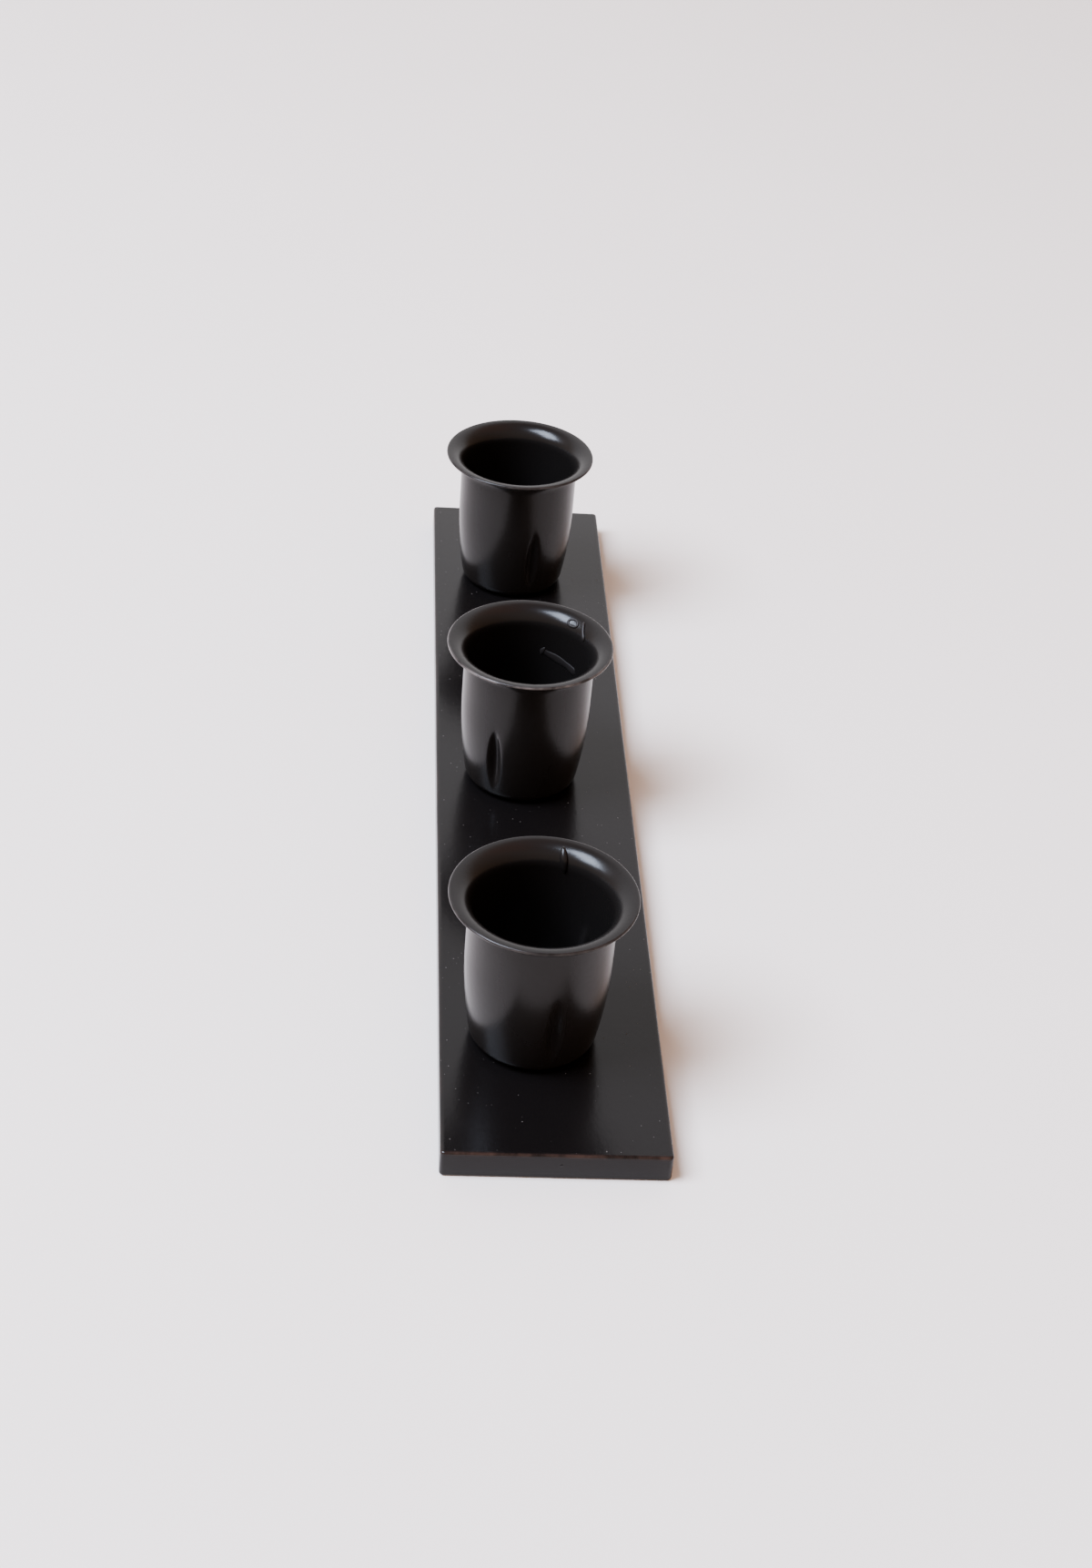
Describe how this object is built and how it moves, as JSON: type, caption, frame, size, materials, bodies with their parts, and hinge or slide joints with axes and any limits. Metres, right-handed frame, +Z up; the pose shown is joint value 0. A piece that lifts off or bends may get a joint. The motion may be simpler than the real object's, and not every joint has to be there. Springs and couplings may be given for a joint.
{
  "type": "tabletop candelabra",
  "caption": "Low linear candelabra: lipped, fluted sheet-steel cups for dinner candles, screwed in a row to a long flat steel bar, all in satin black lacquer.",
  "frame": {"origin": "middle of the bar's underside, where it rests on the table", "axes": "+X along the bar towards the near cup, +Z up, +Y across the bar away from the side that the cups are set towards"},
  "size_m": [0.208, 0.037, 0.0345],
  "materials": {
    "bar_lacquer": "satin black lacquer on flat steel bar, worn brown along the near top edge",
    "cup_lacquer": "satin black lacquer on drawn sheet steel, thin and rubbed at the lip's edge",
    "screw_zinc": "bright zinc plate",
    "washer_zinc": "bright zinc plate"
  },
  "bodies": {
    "root": {"base_bar": "bar_lacquer", "cup_near": "cup_lacquer", "cup_middle": "cup_lacquer", "cup_far": "cup_lacquer", "screw_near": "screw_zinc", "screw_middle": "screw_zinc", "screw_far": "screw_zinc", "washer_near": "washer_zinc", "washer_middle": "washer_zinc", "washer_far": "washer_zinc"}
  },
  "joints": []
}
